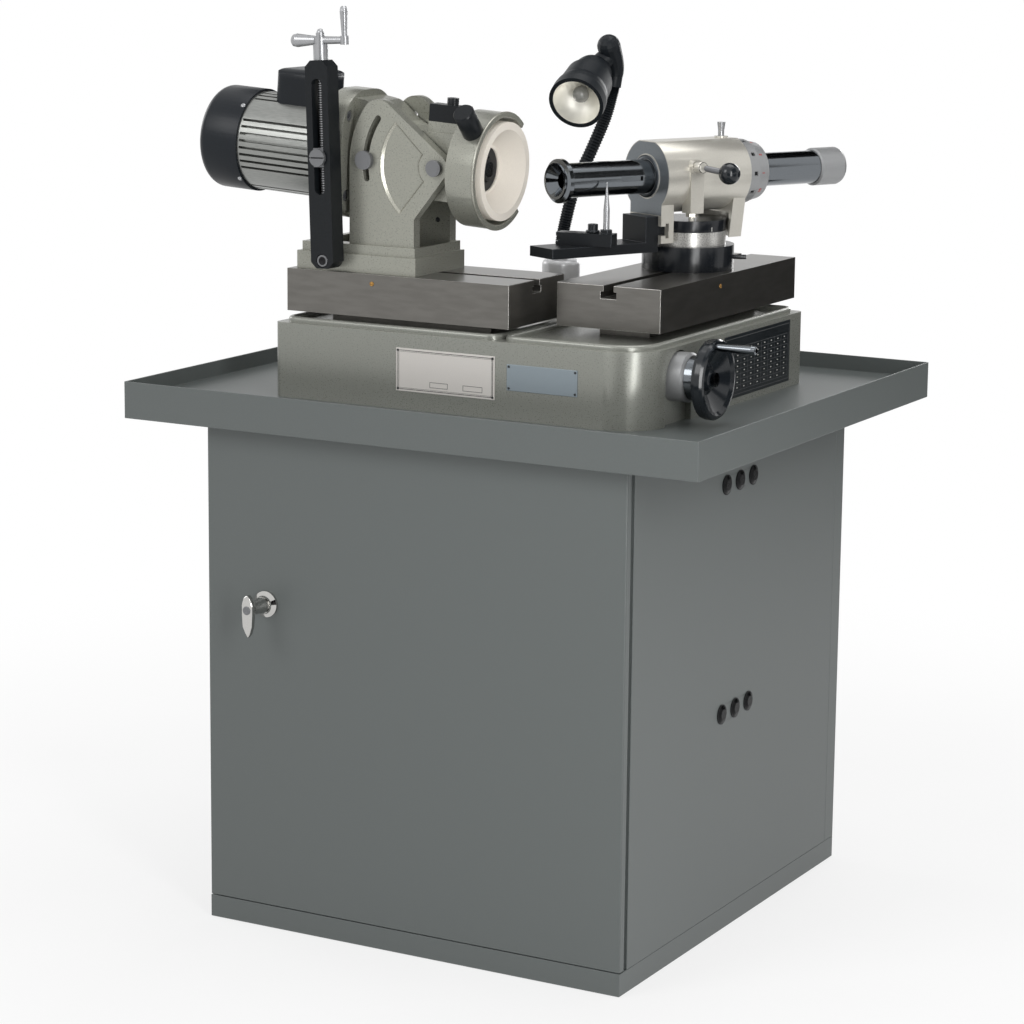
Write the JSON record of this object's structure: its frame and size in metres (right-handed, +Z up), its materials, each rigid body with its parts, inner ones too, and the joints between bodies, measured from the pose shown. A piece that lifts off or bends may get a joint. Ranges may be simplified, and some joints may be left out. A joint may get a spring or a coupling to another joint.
{
  "type": "tool and cutter grinder",
  "caption": "Tool and cutter grinder on a sheet steel cabinet: tilting motor head with cup wheel, swivelling indexing workhead, tooth rest, tray and gooseneck lamp.",
  "frame": {"origin": "on the floor under the middle of the cabinet", "axes": "+X right along the front, +Y to the back, +Z up"},
  "size_m": [0.818, 0.7333, 1.1885],
  "materials": {
    "cabinet_paint": "satin",
    "casting_paint": "hammered paint",
    "workhead_paint": "satin paint",
    "ground_steel": "ground",
    "bright_steel": "bright",
    "black_steel": "gloss",
    "motor_alloy": "as cast",
    "black_plastic": "gloss",
    "white_abrasive": "matte",
    "bronze": "machined",
    "winding": "matte",
    "plug_plastic": "matte",
    "lamp_glass": "frosted"
  },
  "bodies": {
    "stand": {"plinth": "cabinet_paint", "cabinet_floor": "cabinet_paint", "left_side_panel": "cabinet_paint", "right_side_panel": "cabinet_paint", "back_panel": "cabinet_paint", "front_frame": "cabinet_paint", "hole_plugs": "plug_plastic", "swarf_tray": "cabinet_paint", "door_pins": "bright_steel", "base_casting": "casting_paint", "slide_rails": "ground_steel", "screw_hanger": "casting_paint", "screw_boss": "casting_paint", "lamp_foot": "bright_steel"},
    "door": {"door_panel": "cabinet_paint", "latch_rosette": "bright_steel"},
    "latch": {"latch_handle": "bright_steel", "latch_cam": "bright_steel"},
    "feed_drive": {"feed_screw": "bright_steel", "graduated_collar": "bright_steel", "handwheel": "black_plastic"},
    "grip": {"handwheel_grip": "bright_steel"},
    "left_slide": {"left_table": "ground_steel", "feed_nut": "bronze", "pedestal": "casting_paint", "pedestal_bolts": "black_steel", "pivot_bolts": "bright_steel"},
    "wheel_head": {"head_casting": "casting_paint", "head_screws": "bright_steel", "motor_housing": "motor_alloy", "stator": "winding", "fan_cover": "black_steel", "terminal_box": "black_plastic", "bearings": "bright_steel", "wheel_guard": "casting_paint", "guard_bar": "black_steel", "guard_knob": "black_plastic"},
    "rotor_group": {"rotor": "bright_steel", "cooling_fan": "black_plastic", "grinding_wheel": "white_abrasive", "wheel_flanges": "ground_steel"},
    "adjuster": {"adjuster_bar": "black_steel"},
    "adjuster_drive": {"adjuster_screw": "bright_steel"},
    "adjuster_block": {"adjuster_nut": "bright_steel"},
    "right_slide": {"right_table": "ground_steel", "swivel_base": "black_steel", "graduated_ring": "bright_steel"},
    "swivel": {"swivel_plate": "black_steel"},
    "workhead": {"workhead_casting": "workhead_paint"},
    "lock_lever": {"clamp_lever": "black_steel"},
    "plunger": {"index_plunger": "bright_steel"},
    "index": {"index_sleeve": "bright_steel"},
    "spindle_tube": {"spindle": "bright_steel"},
    "draw_knob": {"drawbar": "bright_steel"},
    "tooth_rest": {"tooth_rest_bracket": "black_steel"},
    "holder": {"finger_holder": "black_steel"},
    "finger_tip": {"finger": "bright_steel"},
    "lamp_arm": {"lamp_neck": "black_steel"},
    "lamp_top": {"lamp_shade": "black_steel", "lamp_bulb": "lamp_glass"}
  },
  "joints": [
    {"name": "door_hinge", "type": "hinge", "parent": "stand", "child": "door", "pos_m": [0.293, -0.319, 0.35], "axis": [0, 0, 1], "range_deg": [0, 105]},
    {"name": "latch_turn", "type": "hinge", "parent": "door", "child": "latch", "pos_m": [-0.212, -0.33, 0.433], "axis": [0, 1, 0], "range_deg": [0, 90]},
    {"name": "left_slide_move", "type": "slide", "parent": "stand", "child": "left_slide", "axis": [1, 0, 0], "range_m": [-0.04, 0.01]},
    {"name": "handwheel_turn", "type": "hinge", "parent": "stand", "child": "feed_drive", "pos_m": [0.3, -0.152, 0.746], "axis": [1, 0, 0], "continuous": true},
    {"name": "grip_spin", "type": "hinge", "parent": "feed_drive", "child": "grip", "pos_m": [0.33, -0.162, 0.788], "axis": [1, 0, 0], "continuous": true},
    {"name": "head_tilt", "type": "hinge", "parent": "left_slide", "child": "wheel_head", "pos_m": [-0.039, -0.152, 0.9895], "axis": [0, 1, 0], "range_deg": [-6, 24]},
    {"name": "rotor_spin", "type": "hinge", "parent": "wheel_head", "child": "rotor_group", "pos_m": [-0.039, -0.152, 0.9895], "axis": [0.9981, 0, -0.061], "continuous": true},
    {"name": "bar_swing", "type": "hinge", "parent": "left_slide", "child": "adjuster", "pos_m": [-0.182, -0.23, 0.867], "axis": [0, 1, 0], "range_deg": [-3, 9]},
    {"name": "nut_travel", "type": "slide", "parent": "adjuster", "child": "adjuster_block", "axis": [-0.0366, 0, 0.9993], "range_m": [-0.02, 0.08]},
    {"name": "crank_turn", "type": "hinge", "parent": "adjuster", "child": "adjuster_drive", "pos_m": [-0.182, -0.23, 0.867], "axis": [-0.0366, 0, 0.9993], "continuous": true},
    {"name": "right_slide_move", "type": "slide", "parent": "stand", "child": "right_slide", "axis": [0, 1, 0], "range_m": [-0.05, 0.04]},
    {"name": "workhead_swivel", "type": "hinge", "parent": "right_slide", "child": "swivel", "pos_m": [0.1835, 0.068, 0.9], "axis": [0, 0, 1], "range_deg": [-4, 60]},
    {"name": "workhead_tilt", "type": "hinge", "parent": "swivel", "child": "workhead", "pos_m": [0.1835, 0.068, 0.9095], "axis": [-0.4384, -0.8988, 0], "range_deg": [0, 10]},
    {"name": "lever_turn", "type": "hinge", "parent": "workhead", "child": "lock_lever", "pos_m": [0.22362, 0.01728, 0.988], "axis": [0.8988, -0.4384, 0], "range_deg": [-60, 40]},
    {"name": "plunger_press", "type": "slide", "parent": "workhead", "child": "plunger", "axis": [0, 0, -1], "range_m": [0, 0.004], "stiffness_N_per_m": 400, "springref_m": -0.0006},
    {"name": "index_turn", "type": "hinge", "parent": "workhead", "child": "index", "pos_m": [0.1835, 0.068, 0.974], "axis": [-0.4384, -0.8988, 0], "continuous": true},
    {"name": "spindle_slide", "type": "slide", "parent": "index", "child": "spindle_tube", "axis": [-0.4384, -0.8988, 0], "range_m": [-0.035, 0.03]},
    {"name": "drawbar_turn", "type": "hinge", "parent": "spindle_tube", "child": "draw_knob", "pos_m": [0.1835, 0.068, 0.974], "axis": [-0.4384, -0.8988, 0], "continuous": true},
    {"name": "tooth_rest_slide", "type": "slide", "parent": "workhead", "child": "tooth_rest", "axis": [0.8988, -0.4384, 0], "range_m": [-0.004, 0.02]},
    {"name": "holder_turn", "type": "hinge", "parent": "tooth_rest", "child": "holder", "pos_m": [0.12511, -0.08821, 0.9], "axis": [0, 0, 1], "range_deg": [-12, 12]},
    {"name": "finger_slide", "type": "slide", "parent": "holder", "child": "finger_tip", "axis": [0, 0, 1], "range_m": [-0.003, 0.015]},
    {"name": "lamp_swivel", "type": "hinge", "parent": "stand", "child": "lamp_arm", "pos_m": [-0.027, 0.112, 0.845], "axis": [0, 0, 1], "range_deg": [-30, 30]},
    {"name": "lamp_shade_turn", "type": "hinge", "parent": "lamp_arm", "child": "lamp_top", "pos_m": [0.0415, 0.126, 1.0813], "axis": [0.1236, 0.0824, 0.9889], "range_deg": [-25, 25]}
  ],
  "couplings": [
    {"joint": "handwheel_turn", "follows": "left_slide_move", "rad_per_m": -1256.6},
    {"joint": "bar_swing", "follows": "head_tilt", "ratio": 0.235},
    {"joint": "nut_travel", "follows": "head_tilt", "m_per_rad": 0.1427},
    {"joint": "crank_turn", "follows": "head_tilt", "ratio": -149.4}
  ]
}
